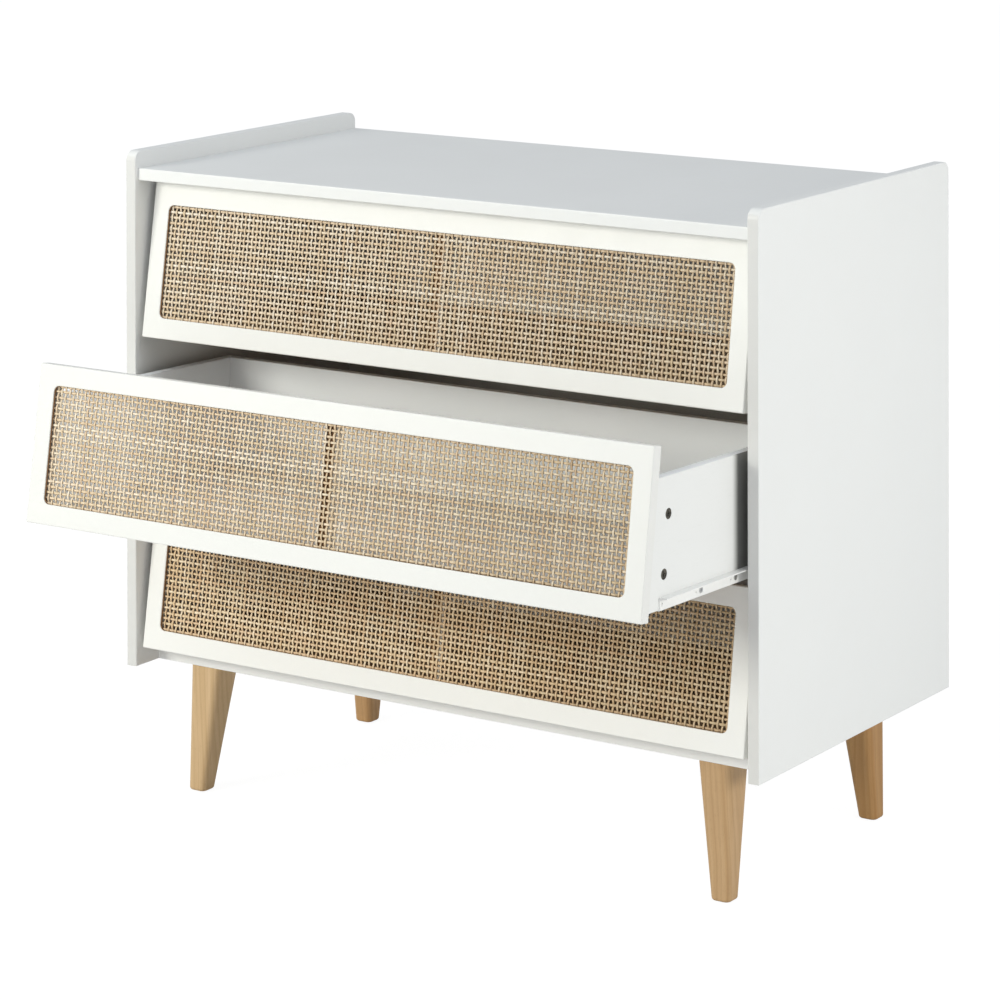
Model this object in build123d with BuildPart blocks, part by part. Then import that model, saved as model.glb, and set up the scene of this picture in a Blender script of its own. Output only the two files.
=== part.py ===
from build123d import *
import os
from math import cos, radians, sin, tan

os.makedirs("parts", exist_ok=True)

# Chest of three drawers on four tapered legs, with woven cane drawer fronts.
# Millimetres. +X to the right, +Y to the back, +Z up. The origin is on the
# floor, on the left-right centre plane, at the middle of the overall depth with
# the middle drawer standing open, which is how the chest is modelled.

# ---------------------------------------------------------------- dimensions
WIDTH = 900.0            # over the side panels
DEPTH = 450.0            # side panels, front to back
SIDE_TOP = 785.0         # top of the side panels above the floor
LEG_HEIGHT = 153.0       # floor to the underside of the carcass
TOP_SURFACE = 764.0      # upper face of the top board
BOARD = 15.0             # carcass and drawer front board thickness
EDGE = 1.5               # rounding of the board edges
CORNER = 12.0            # rounding of the side panels' upper corners
TOP_SETBACK = 5.5        # top board's front edge behind the side panels' front
BOTTOM_SETBACK = 43.0    # bottom board's front edge behind the same line

BACK_T = 3.0             # hardboard back
GROOVE_T = 3.2           # groove that holds a 3 mm board
GROOVE_D = 5.0
BACK_INSET = 12.0        # back board in front of the panels' rear edges

LEG_TOP = 45.0           # square leg at the carcass
LEG_FOOT = 25.0          # square leg at the floor
LEG_X = 387.0            # outer faces of the legs from the centre plane
LEG_INSET = 45.0         # back legs in from the back edges
LEG_FRONT_TOP = 43.5     # front legs behind the front edges, at the carcass
LEG_FRONT_FOOT = 39.0    # and at the floor: they lean a little forwards

FRONT_W = 856.0          # drawer front width
FRONT_H = 185.1          # drawer front height, measured up its slope
FRONT_TILT = 8.5         # lean of the closed fronts from the vertical, degrees
FRONT_LIP = 3.4          # lower front edge behind the side panels' front
FRONT_Z = (177.0, 368.1, 559.2)   # lower front edges: lower, middle, upper
FRONT_MORE = ((0.0, 0.0), (0.0, 0.0), (1.0, 3.5))   # added below and above: the upper front reaches up to the top board
FRAME_M = 24.0           # frame margin round the cane opening
OPENING_R = 7.5          # corner radius of the cane opening
LIP_T = 3.5              # wood left in front of the cane
REBATE = 6.0             # rebate round the opening, from the back
CANE_T = 3.0             # woven cane sheet
CENTRE_BAR = 18.0        # centre bar of the retainer behind the cane

SLOPE = 1.5              # runners fall towards the back, so a drawer closes itself
BOX_X = 422.5            # outer faces of the drawer sides
BOX_T = 12.0             # drawer side and back thickness
BOX_H = 140.0            # drawer side height
BOX_END = 373.0          # rear end of the drawer box
BACK_DROP = 0.0          # drawer back is this much lower than the sides
BOTTOM_W = 4.5           # underside of the drawer bottom above the side's edge
BOTTOM_T = 3.0

RUN_START = 47.0         # front end of both runner members
RUN_L = 300.0            # runner length
METAL = 1.2              # runner sheet
RUN_TOP = 13.3           # top flange of the drawer member
CAB_LOW = -4.9           # lower flange of the cabinet member
CAB_TOP = 11.5           # upper flange of the cabinet member
FRONT_ROLL_R = 7.5       # roller on the cabinet member
REAR_ROLL_R = 6.5        # roller on the drawer member
FRONT_ROLL = (57.0, 4.4)     # its axis: behind the front line, above the side's edge
REAR_ROLL = (337.0, 3.15)
PIN_R = 2.0
PIN_BORE_R = 2.06
TRAVEL = 230.0           # full extension
OPEN_BY = 211.0          # how far the middle drawer stands open

# lower front edge of the open middle drawer sits this far in front of the origin
FRONT = -(DEPTH + FRONT_LIP - OPEN_BY * cos(radians(SLOPE))) / 2 - 0.10
BACK = FRONT + DEPTH
INNER = WIDTH / 2 - BOARD
OPEN_W = FRONT_W - 2 * FRAME_M
OPEN_H = FRONT_H - 2 * FRAME_M

c_s, s_s = cos(radians(SLOPE)), sin(radians(SLOPE))
c_t, s_t = cos(radians(FRONT_TILT)), sin(radians(FRONT_TILT))
LEAN = tan(radians(FRONT_TILT + SLOPE))     # front's lean against the drawer box

# the drawer frame starts above the lower front edge, at the side's lower edge
BOX_RISE = 6.0


def save(piece, label):
    piece.part.label = label
    export_step(piece.part, f"parts/{label}.step")


def x_plane(x):
    """Plane across the chest at x: sketch (Y, Z), +normal to the right."""
    return Plane.YZ.offset(x)


# ---------------------------------------------------------------- carcass
CAM_R, CAM_DEEP, CAM_IN = 7.5, 12.5, 34.0
CAM_Y = (FRONT + 75.0, FRONT + 390.0)
DOWEL_Y = (FRONT + 150.0, FRONT + 300.0)
TOP_MID = TOP_SURFACE - BOARD / 2
LOW_MID = LEG_HEIGHT + BOARD / 2


def drawer_origin(index):
    return FRONT, FRONT_Z[index] + BOX_RISE


def to_world(index, v, w):
    """(Y, Z) of a point v behind the front line and w above the side's edge."""
    oy, oz = drawer_origin(index)
    return oy + v * c_s + w * s_s, oz - v * s_s + w * c_s


CAB_SCREWS = (80.0, 200.0, 320.0)
CAB_SCREW_W = 3.3

for name, sign in (("left", -1), ("right", 1)):
    with BuildPart() as side_panel:
        with BuildSketch(x_plane(sign * INNER)) as outline:
            with Locations(((FRONT + BACK) / 2, (LEG_HEIGHT + SIDE_TOP) / 2)):
                Rectangle(DEPTH, SIDE_TOP - LEG_HEIGHT)
            fillet(outline.vertices().group_by(Axis.Y)[-1], radius=CORNER)
        extrude(amount=sign * BOARD)
        faces = side_panel.faces().filter_by(Axis.X).sort_by(Axis.X)
        fillet(faces[0].edges() + faces[-1].edges(), radius=EDGE)
        # groove for the back board
        with BuildSketch(x_plane(sign * INNER)):
            with Locations((BACK - BACK_INSET - GROOVE_T / 2, (LEG_HEIGHT + BOARD - GROOVE_D + TOP_SURFACE - BOARD + GROOVE_D) / 2)):
                Rectangle(GROOVE_T, TOP_SURFACE - LEG_HEIGHT - 2 * BOARD + 2 * GROOVE_D)
        extrude(amount=sign * GROOVE_D, mode=Mode.SUBTRACT)
        # bores for the cam bolts and the dowels
        with BuildSketch(x_plane(sign * INNER)):
            with Locations(*[(y, z) for y in CAM_Y for z in (TOP_MID, LOW_MID)]):
                Circle(2.55)
            with Locations(*[(y, z) for y in DOWEL_Y for z in (TOP_MID, LOW_MID)]):
                Circle(4.0)
        extrude(amount=sign * 11.2, mode=Mode.SUBTRACT)
        # pilot bores for the runner screws
        with BuildSketch(x_plane(sign * INNER)):
            with Locations(*[to_world(i, v, CAB_SCREW_W) for i in range(3) for v in CAB_SCREWS]):
                Circle(1.95)
        extrude(amount=sign * 11.2, mode=Mode.SUBTRACT)
    save(side_panel, f"side_panel_{name}")


with BuildPart() as top_panel:
    with BuildSketch(Plane.XY.offset(TOP_SURFACE - BOARD)):
        with Locations((0, (FRONT + TOP_SETBACK + BACK) / 2)):
            Rectangle(2 * INNER, DEPTH - TOP_SETBACK)
    extrude(amount=BOARD)
    fillet(top_panel.edges().filter_by(Axis.X), radius=EDGE)
    with BuildSketch(Plane.XY.offset(TOP_SURFACE - BOARD)):
        with Locations((0, BACK - BACK_INSET - GROOVE_T / 2)):
            Rectangle(2 * INNER, GROOVE_T)
    extrude(amount=GROOVE_D, mode=Mode.SUBTRACT)
    # cam pockets in the underside
    with BuildSketch(Plane.XY.offset(TOP_SURFACE - BOARD)):
        with Locations(*[(x, y) for x in (-INNER + CAM_IN, INNER - CAM_IN) for y in CAM_Y]):
            Circle(CAM_R)
    extrude(amount=CAM_DEEP, mode=Mode.SUBTRACT)
    for sign in (-1, 1):
        with BuildSketch(x_plane(sign * INNER)):
            with Locations(*[(y, TOP_MID) for y in CAM_Y]):
                Circle(4.0)
        extrude(amount=-sign * CAM_IN, mode=Mode.SUBTRACT)
        with BuildSketch(x_plane(sign * INNER)):
            with Locations(*[(y, TOP_MID) for y in DOWEL_Y]):
                Circle(4.0)
        extrude(amount=-sign * 19.5, mode=Mode.SUBTRACT)
save(top_panel, "top_panel")

LEG_CORNERS = [(sx, sy) for sx in (-1, 1) for sy in (-1, 1)]


def leg_centre(sx, sy, size):
    """Centre of a leg's square section: its two outer faces stay upright."""
    x = sx * (LEG_X - size / 2)
    inset = LEG_FRONT_TOP if size == LEG_TOP else LEG_FRONT_FOOT
    y = FRONT + inset + size / 2 if sy < 0 else BACK - LEG_INSET - size / 2
    return x, y


with BuildPart() as bottom_panel:
    with BuildSketch(Plane.XY.offset(LEG_HEIGHT)):
        with Locations((0, (FRONT + BOTTOM_SETBACK + BACK) / 2)):
            Rectangle(2 * INNER, DEPTH - BOTTOM_SETBACK)
    extrude(amount=BOARD)
    fillet(bottom_panel.edges().filter_by(Axis.X), radius=EDGE)
    with BuildSketch(Plane.XY.offset(LEG_HEIGHT + BOARD - GROOVE_D)):
        with Locations((0, BACK - BACK_INSET - GROOVE_T / 2)):
            Rectangle(2 * INNER, GROOVE_T)
    extrude(amount=GROOVE_D, mode=Mode.SUBTRACT)
    # cam pockets and the legs' insert nut bores in the underside
    with BuildSketch(Plane.XY.offset(LEG_HEIGHT)):
        with Locations(*[(x, y) for x in (-INNER + CAM_IN, INNER - CAM_IN) for y in CAM_Y]):
            Circle(CAM_R)
    extrude(amount=CAM_DEEP, mode=Mode.SUBTRACT)
    with BuildSketch(Plane.XY.offset(LEG_HEIGHT)):
        with Locations(*[leg_centre(sx, sy, LEG_TOP) for sx, sy in LEG_CORNERS]):
            Circle(5.05)
    extrude(amount=13.0, mode=Mode.SUBTRACT)
    for sign in (-1, 1):
        with BuildSketch(x_plane(sign * INNER)):
            with Locations(*[(y, LOW_MID) for y in CAM_Y]):
                Circle(4.0)
        extrude(amount=-sign * CAM_IN, mode=Mode.SUBTRACT)
        with BuildSketch(x_plane(sign * INNER)):
            with Locations(*[(y, LOW_MID) for y in DOWEL_Y]):
                Circle(4.0)
        extrude(amount=-sign * 19.5, mode=Mode.SUBTRACT)
save(bottom_panel, "bottom_panel")

with BuildPart() as back_panel:
    with BuildSketch(Plane.XY.offset(LEG_HEIGHT + BOARD - GROOVE_D + 0.3)):
        with Locations((0, BACK - BACK_INSET - GROOVE_T / 2)):
            Rectangle(2 * (INNER + GROOVE_D - 0.4), BACK_T)
    extrude(amount=TOP_SURFACE - LEG_HEIGHT - 2 * BOARD + 2 * GROOVE_D - 0.6)
save(back_panel, "back_panel")

# ---------------------------------------------------------------- legs
for sx, sy in LEG_CORNERS:
    with BuildPart() as leg:
        with BuildSketch(Plane.XY.offset(LEG_HEIGHT)):
            with Locations(leg_centre(sx, sy, LEG_TOP)):
                RectangleRounded(LEG_TOP, LEG_TOP, 9.5)
        with BuildSketch(Plane.XY):
            with Locations(leg_centre(sx, sy, LEG_FOOT)):
                RectangleRounded(LEG_FOOT, LEG_FOOT, 7.5)
        loft()
        fillet(leg.faces().sort_by(Axis.Z)[0].edges(), radius=3.5)
        # bore for the hanger bolt
        with BuildSketch(Plane.XY.offset(LEG_HEIGHT)):
            with Locations(leg_centre(sx, sy, LEG_TOP)):
                Circle(3.95)
        extrude(amount=-36.0, mode=Mode.SUBTRACT)
    save(leg, f"leg_{'front' if sy < 0 else 'back'}_{'left' if sx < 0 else 'right'}")

with BuildPart() as leg_hanger_bolts:
    with BuildSketch(Plane.XY.offset(LEG_HEIGHT - 35.0)):
        with Locations(*[leg_centre(sx, sy, LEG_TOP) for sx, sy in LEG_CORNERS]):
            Circle(3.9)
    extrude(amount=47.0)
    chamfer(leg_hanger_bolts.edges().group_by(Axis.Z)[0], length=2.5)
    chamfer(leg_hanger_bolts.edges().group_by(Axis.Z)[-1], length=0.8)
save(leg_hanger_bolts, "leg_hanger_bolts")

with BuildPart() as leg_insert_nuts:
    with BuildSketch(Plane.XY.offset(LEG_HEIGHT + 0.1)):
        with Locations(*[leg_centre(sx, sy, LEG_TOP) for sx, sy in LEG_CORNERS]):
            Circle(5.0)
            Circle(3.98, mode=Mode.SUBTRACT)
    extrude(amount=12.6)
save(leg_insert_nuts, "leg_insert_nuts")

# ---------------------------------------------------------------- carcass fittings
CARCASS_CAMS = [
    (sign, y, z)
    for sign in (-1, 1)
    for y in CAM_Y
    for z in (TOP_SURFACE - BOARD, LEG_HEIGHT)
]

with BuildPart() as carcass_cams:
    for z in (TOP_SURFACE - BOARD, LEG_HEIGHT):
        spots = [(sign * (INNER - CAM_IN), y) for sign in (-1, 1) for y in CAM_Y]
        with BuildSketch(Plane.XY.offset(z + 0.2)):
            with Locations(*spots):
                Circle(CAM_R - 0.1)
        extrude(amount=CAM_DEEP - 0.4)
        # cross recess in the visible end
        with BuildSketch(Plane.XY.offset(z + 0.2)):
            with Locations(*spots):
                Rectangle(8.0, 1.6)
                Rectangle(1.6, 8.0)
        extrude(amount=2.0, mode=Mode.SUBTRACT)
    # chamber that takes the bolt's head
    for sign in (-1, 1):
        with BuildSketch(x_plane(sign * (INNER - CAM_IN - 3.0))):
            with Locations(*[(y, z + BOARD / 2) for y in CAM_Y for z in (TOP_SURFACE - BOARD, LEG_HEIGHT)]):
                Circle(3.6)
        extrude(amount=sign * 14.0, mode=Mode.SUBTRACT)
save(carcass_cams, "carcass_cam_housings")

with BuildPart() as carcass_bolts:
    for sign in (-1, 1):
        spots = [(y, z) for y in CAM_Y for z in (TOP_MID, LOW_MID)]
        with BuildSketch(x_plane(sign * (INNER + 11.0))):
            with Locations(*spots):
                Circle(2.5)
        extrude(amount=-sign * 11.0)
        with BuildSketch(x_plane(sign * (INNER - 0.1))):
            with Locations(*spots):
                Circle(3.8)
        extrude(amount=-sign * 2.0)
        with BuildSketch(x_plane(sign * INNER)):
            with Locations(*spots):
                Circle(2.0)
        extrude(amount=-sign * (CAM_IN - 1.0))
        with BuildSketch(x_plane(sign * (INNER - CAM_IN + 3.5))):
            with Locations(*spots):
                Circle(3.2)
        extrude(amount=-sign * 3.5)
save(carcass_bolts, "carcass_cam_bolts")

with BuildPart() as carcass_dowels:
    for sign in (-1, 1):
        with BuildSketch(x_plane(sign * (INNER + 11.0))):
            with Locations(*[(y, z) for y in DOWEL_Y for z in (TOP_MID, LOW_MID)]):
                Circle(3.95)
        extrude(amount=-sign * 30.0)
    chamfer(carcass_dowels.edges().filter_by(GeomType.CIRCLE), length=0.8)
save(carcass_dowels, "carcass_dowels")

with BuildPart() as cabinet_runner_screws:
    for sign in (-1, 1):
        spots = [to_world(i, v, CAB_SCREW_W) for i in range(3) for v in CAB_SCREWS]
        with BuildSketch(x_plane(sign * (INNER - METAL))):
            with Locations(*spots):
                Circle(3.4)
        extrude(amount=-sign * 1.1)
        with BuildSketch(x_plane(sign * (INNER - METAL - 0.2))):
            with Locations(*spots):
                Circle(1.9)
        extrude(amount=sign * 12.2)
        with BuildSketch(x_plane(sign * (INNER - METAL - 1.1))):
            with Locations(*spots):
                Rectangle(3.0, 0.7)
                Rectangle(0.7, 3.0)
        extrude(amount=sign * 0.7, mode=Mode.SUBTRACT)
save(cabinet_runner_screws, "cabinet_runner_screws")


# ---------------------------------------------------------------- drawers
def front_back_v(w):
    """Back face of the drawer front, at height w in the drawer frame."""
    rise = w + BOX_RISE * c_s - FRONT_LIP * s_s
    return FRONT_LIP * c_s + BOX_RISE * s_s + BOARD / cos(radians(FRONT_TILT + SLOPE)) + rise * LEAN


CAM_H = (48.5, 112.0)        # cam bolts, up the slope of the front
CAM_BACK = 33.0              # cam centre behind the front's back face
DCAM_R = 6.0
SIDE_MID = BOX_X - BOX_T / 2
DRAWER_SCREWS = (131.0, 204.0, 300.0)
BACK_SCREWS = (45.0, 100.0)
CURVE = OPENING_R + REBATE

LEVELS = (("lower", 0, 0.0), ("middle", 1, OPEN_BY), ("upper", 2, 0.0))

for level, index, opened in LEVELS:
    oy, oz = drawer_origin(index)
    shift_y, shift_z = -opened * c_s, opened * s_s

    def box_plane(w, opened_too=True):
        """Plane parallel to the drawer's bottom at height w: sketch (X, v)."""
        dy, dz = (shift_y, shift_z) if opened_too else (0.0, 0.0)
        return Plane(origin=(0, oy + dy, oz + dz), x_dir=(1, 0, 0), z_dir=(0, s_s, c_s)).offset(w)

    def cross_plane(v, opened_too=True):
        """Plane square to the slide at v: sketch (X, w), +normal to the front."""
        dy, dz = (shift_y, shift_z) if opened_too else (0.0, 0.0)
        return Plane(
            origin=(0, oy + dy + v * c_s, oz + dz - v * s_s), x_dir=(1, 0, 0), z_dir=(0, -c_s, s_s)
        )

    def profile_plane(x, opened_too=True):
        """Plane along the slide at x: sketch (v, w), +normal to the right."""
        dy, dz = (shift_y, shift_z) if opened_too else (0.0, 0.0)
        return Plane(origin=(x, oy + dy, oz + dz), x_dir=(0, c_s, -s_s), z_dir=(1, 0, 0))

    # front board's outer face: sketch (X, up the slope), +normal out of the chest
    face = Plane(
        origin=(0, FRONT + FRONT_LIP + shift_y, FRONT_Z[index] + shift_z),
        x_dir=(1, 0, 0),
        z_dir=(0, -c_t, s_t),
    )

    with BuildPart() as front:
        with BuildSketch(face):
            below, above = FRONT_MORE[index]
            with Locations((0, (FRONT_H + above - below) / 2)):
                Rectangle(FRONT_W, FRONT_H + above + below)
        extrude(amount=-BOARD)
        fillet(front.edges(), radius=EDGE)
        # opening for the cane, and the rebate behind it
        with BuildSketch(face):
            with Locations((0, FRONT_H / 2)):
                RectangleRounded(OPEN_W, OPEN_H, OPENING_R)
        extrude(amount=-BOARD, mode=Mode.SUBTRACT)
        with BuildSketch(face.offset(-LIP_T)):
            with Locations((0, FRONT_H / 2)):
                RectangleRounded(OPEN_W + 2 * REBATE, OPEN_H + 2 * REBATE, CURVE)
        extrude(amount=-(BOARD - LIP_T), mode=Mode.SUBTRACT)
        # groove for the drawer bottom
        with BuildSketch(box_plane(BOTTOM_W - 0.1)):
            with Locations((0, front_back_v(BOTTOM_W) - 5.0 + 20.0)):
                Rectangle(2 * (BOX_X - BOX_T + GROOVE_D), 40.0)
        extrude(amount=GROOVE_T, mode=Mode.SUBTRACT)
        # bores for the cam bolts
        with BuildSketch(face.offset(-BOARD)):
            with Locations(*[(x, h) for x in (-SIDE_MID, SIDE_MID) for h in CAM_H]):
                Circle(2.55)
        extrude(amount=11.0, mode=Mode.SUBTRACT)
        opening_edges = (
            front.edges()
            .filter_by(lambda e: abs(face.to_local_coords(e.center()).Z) < 0.05)
            .filter_by(lambda e: abs(face.to_local_coords(e.center()).X) < OPEN_W / 2 + 1)
            .filter_by(lambda e: FRAME_M - 1 < face.to_local_coords(e.center()).Y < FRONT_H - FRAME_M + 1)
        )
        fillet(opening_edges, radius=1.0)
    save(front, f"{level}_drawer_front")

    with BuildPart() as cane_panel:
        with BuildSketch(face.offset(-LIP_T)):
            with Locations((0, FRONT_H / 2)):
                RectangleRounded(OPEN_W + 2 * REBATE - 1.0, OPEN_H + 2 * REBATE - 1.0, CURVE - 0.5)
        extrude(amount=-CANE_T)
    save(cane_panel, f"{level}_drawer_cane_panel")

    # ring of beading with a centre bar, pressed in behind the cane
    with BuildPart() as cane_retainer:
        with BuildSketch(face.offset(-LIP_T - CANE_T)):
            with Locations((0, FRONT_H / 2)):
                RectangleRounded(OPEN_W + 2 * REBATE - 0.4, OPEN_H + 2 * REBATE - 0.4, CURVE - 0.2)
                RectangleRounded(OPEN_W, OPEN_H, OPENING_R, mode=Mode.SUBTRACT)
                Rectangle(CENTRE_BAR, OPEN_H + REBATE)
        extrude(amount=-(BOARD - LIP_T - CANE_T - 0.2))
    save(cane_retainer, f"{level}_drawer_cane_retainer")

    # cam centres in the (v, w) frame, from the front's slope
    cam_spots = []
    for h in CAM_H:
        y = FRONT + FRONT_LIP + h * s_t + (BOARD + CAM_BACK) * c_t
        z = FRONT_Z[index] + h * c_t - (BOARD + CAM_BACK) * s_t
        dy, dz = y - oy, z - oz
        cam_spots.append((dy * c_s - dz * s_s, dy * s_s + dz * c_s))

    for name, sign in (("left", -1), ("right", 1)):
        with BuildPart() as drawer_side:
            with BuildSketch(profile_plane(sign * (BOX_X - BOX_T))):
                with BuildLine():
                    Polyline(
                        (front_back_v(0), 0),
                        (BOX_END, 0),
                        (BOX_END, BOX_H),
                        (front_back_v(BOX_H), BOX_H),
                        close=True,
                    )
                make_face()
            extrude(amount=sign * BOX_T)
            top_face = drawer_side.faces().sort_by(Axis.Z)[-1]
            fillet(top_face.edges().filter_by(lambda e: e.length > 200), radius=1.2)
            # groove for the drawer bottom
            with BuildSketch(box_plane(BOTTOM_W - 0.1)):
                with Locations((sign * (BOX_X - BOX_T + GROOVE_D / 2), 200.0)):
                    Rectangle(GROOVE_D, 380.0)
            extrude(amount=GROOVE_T, mode=Mode.SUBTRACT)
            # cam bores in the outer face, and the bolts' bores from the front end
            with BuildSketch(profile_plane(sign * BOX_X)):
                with Locations(*cam_spots):
                    Circle(DCAM_R + 0.05)
            extrude(amount=-sign * 10.2, mode=Mode.SUBTRACT)
            with BuildSketch(face.offset(-BOARD - CAM_BACK)):
                with Locations(*[(sign * SIDE_MID, h) for h in CAM_H]):
                    Circle(3.0)
            extrude(amount=CAM_BACK, mode=Mode.SUBTRACT)
            # pilot bores for the runner screws, clearance for the back's screws
            with BuildSketch(profile_plane(sign * BOX_X)):
                with Locations(*[(v, 6.0) for v in DRAWER_SCREWS]):
                    Circle(1.65)
            extrude(amount=-sign * 6.8, mode=Mode.SUBTRACT)
            with BuildSketch(profile_plane(sign * BOX_X)):
                with Locations(*[(BOX_END - BOX_T / 2, w) for w in BACK_SCREWS]):
                    Circle(2.0)
            extrude(amount=-sign * BOX_T, mode=Mode.SUBTRACT)
        save(drawer_side, f"{level}_drawer_side_{name}")

    with BuildPart() as drawer_back:
        with BuildSketch(box_plane(BOTTOM_W + BOTTOM_T)):
            with Locations((0, BOX_END - BOX_T / 2)):
                Rectangle(2 * (BOX_X - BOX_T), BOX_T)
        extrude(amount=BOX_H - BACK_DROP - BOTTOM_W - BOTTOM_T)
        fillet(drawer_back.faces().sort_by(Axis.Z)[-1].edges().filter_by(Axis.X), radius=1.2)
        for sign in (-1, 1):
            with BuildSketch(profile_plane(sign * (BOX_X - BOX_T))):
                with Locations(*[(BOX_END - BOX_T / 2, w) for w in BACK_SCREWS]):
                    Circle(1.8)
            extrude(amount=-sign * 23.0, mode=Mode.SUBTRACT)
    save(drawer_back, f"{level}_drawer_back")

    with BuildPart() as drawer_bottom:
        v0 = front_back_v(BOTTOM_W) - 4.5
        with BuildSketch(box_plane(BOTTOM_W)):
            with Locations((0, (v0 + BOX_END) / 2)):
                Rectangle(2 * (BOX_X - BOX_T + GROOVE_D - 0.3), BOX_END - v0)
        extrude(amount=BOTTOM_T)
    save(drawer_bottom, f"{level}_drawer_bottom")

    # cam discs in the side's outer face, and their bolts into the front
    with BuildPart() as drawer_cams:
        for sign in (-1, 1):
            with BuildSketch(profile_plane(sign * (BOX_X - 0.3))):
                with Locations(*cam_spots):
                    Circle(DCAM_R)
            extrude(amount=-sign * 9.7)
            with BuildSketch(profile_plane(sign * (BOX_X - 0.3))):
                with Locations(*cam_spots):
                    Rectangle(7.0, 1.5)
                    Rectangle(1.5, 7.0)
            extrude(amount=-sign * 1.8, mode=Mode.SUBTRACT)
            with BuildSketch(face.offset(-BOARD - CAM_BACK - 2.0)):
                with Locations(*[(sign * SIDE_MID, h) for h in CAM_H]):
                    Circle(3.05)
            extrude(amount=10.0, mode=Mode.SUBTRACT)
        # bolts, as solids apart from the discs
        for sign in (-1, 1):
            spots = [(sign * SIDE_MID, h) for h in CAM_H]
            with BuildSketch(face.offset(-BOARD + 10.5)):
                with Locations(*spots):
                    Circle(2.5)
            extrude(amount=-10.5)
            with BuildSketch(face.offset(-BOARD)):
                with Locations(*spots):
                    Circle(2.2)
            extrude(amount=-(CAM_BACK - 2.0))
            with BuildSketch(face.offset(-BOARD - CAM_BACK + 3.0)):
                with Locations(*spots):
                    Circle(2.85)
            extrude(amount=-3.5)
    save(drawer_cams, f"{level}_drawer_cam_fittings")

    with BuildPart() as drawer_screws:
        for sign in (-1, 1):
            outer = sign * (BOX_X + METAL)
            with BuildSketch(profile_plane(outer)):
                with Locations(*[(v, 6.0) for v in DRAWER_SCREWS]):
                    Circle(3.3)
            extrude(amount=sign * 0.8)
            with BuildSketch(profile_plane(outer + sign * 0.1)):
                with Locations(*[(v, 6.0) for v in DRAWER_SCREWS]):
                    Circle(1.6)
            extrude(amount=-sign * 7.9)
            with BuildSketch(profile_plane(outer + sign * 0.8)):
                with Locations(*[(v, 6.0) for v in DRAWER_SCREWS]):
                    Rectangle(2.8, 0.6)
                    Rectangle(0.6, 2.8)
            extrude(amount=-sign * 0.5, mode=Mode.SUBTRACT)
            # back screws, heads sunk flush in the sides
            with BuildSketch(profile_plane(sign * (BOX_X - 0.3))):
                with Locations(*[(BOX_END - BOX_T / 2, w) for w in BACK_SCREWS]):
                    Circle(1.75)
            extrude(amount=-sign * 34.0)
    save(drawer_screws, f"{level}_drawer_screws")

    # runner members: one pair on the drawer, one pair in the carcass
    for name, sign in (("left", -1), ("right", 1)):
        with BuildPart() as drawer_runner:
            with BuildSketch(cross_plane(RUN_START)):
                with BuildLine():
                    Polyline(
                        (sign * (BOX_X - 11.0), -METAL),
                        (sign * (BOX_X + METAL), -METAL),
                        (sign * (BOX_X + METAL), RUN_TOP - METAL),
                        (sign * (BOX_X + 10.3), RUN_TOP - METAL),
                        (sign * (BOX_X + 10.3), RUN_TOP),
                        (sign * BOX_X, RUN_TOP),
                        (sign * BOX_X, 0),
                        (sign * (BOX_X - 11.0), 0),
                        close=True,
                    )
                make_face()
            extrude(amount=-RUN_L)
            bends = drawer_runner.edges().filter_by(lambda e: e.length > 290)
            outer_bends = bends.filter_by(
                lambda e: (
                    abs(abs(e.center().X) - (BOX_X + METAL)) < 0.1
                    and profile_plane(0).to_local_coords(e.center()).Y < 0
                )
                or (
                    abs(abs(e.center().X) - BOX_X) < 0.1
                    and profile_plane(0).to_local_coords(e.center()).Y > RUN_TOP - 0.2
                )
            )
            fillet(outer_bends, radius=0.9)
            # front hole, screw holes with a small locating hole beside each, and an oblong hole
            with BuildSketch(profile_plane(sign * BOX_X)):
                with Locations(*[(v, 6.0) for v in DRAWER_SCREWS]):
                    Circle(1.7)
                with Locations((RUN_START + 5.0, 6.0)):
                    Circle(1.5)
                with Locations(*[(v - 9.5, 5.0) for v in DRAWER_SCREWS]):
                    Circle(1.1)
                with Locations((252.0, 6.0)):
                    SlotOverall(9.0, 4.0)
            extrude(amount=sign * METAL, mode=Mode.SUBTRACT)
            # pin for the rear roller, with its head
            with BuildSketch(profile_plane(sign * (BOX_X + METAL / 2))):
                with Locations(REAR_ROLL):
                    Circle(PIN_R)
            extrude(amount=sign * 8.6)
            with BuildSketch(profile_plane(sign * (BOX_X + 9.1))):
                with Locations(REAR_ROLL):
                    Circle(3.2)
            extrude(amount=sign * 0.5)
        save(drawer_runner, f"{level}_drawer_runner_{name}")

        with BuildPart() as cabinet_runner:
            with BuildSketch(cross_plane(RUN_START, False)):
                with BuildLine():
                    Polyline(
                        (sign * INNER, CAB_LOW),
                        (sign * INNER, CAB_TOP),
                        (sign * (INNER - 10.0), CAB_TOP),
                        (sign * (INNER - 10.0), CAB_TOP - METAL),
                        (sign * (INNER - METAL), CAB_TOP - METAL),
                        (sign * (INNER - METAL), CAB_LOW + METAL),
                        (sign * (INNER - 10.0), CAB_LOW + METAL),
                        (sign * (INNER - 10.0), CAB_LOW),
                        close=True,
                    )
                make_face()
            extrude(amount=-RUN_L)
            # upper flange cut away over the front roller
            with BuildSketch(box_plane(CAB_TOP - METAL - 0.1, False)):
                with Locations((sign * (INNER - METAL - 6.0), RUN_START + 9.5)):
                    Rectangle(12.0, 23.0)
            extrude(amount=5.0, mode=Mode.SUBTRACT)
            # screw holes
            with BuildSketch(profile_plane(sign * INNER, False)):
                with Locations(*[(v, CAB_SCREW_W) for v in CAB_SCREWS]):
                    Circle(2.0)
                with Locations(*[(v + 14.0, CAB_SCREW_W) for v in CAB_SCREWS]):
                    SlotOverall(9.0, 4.0)
            extrude(amount=-sign * METAL, mode=Mode.SUBTRACT)
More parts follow.
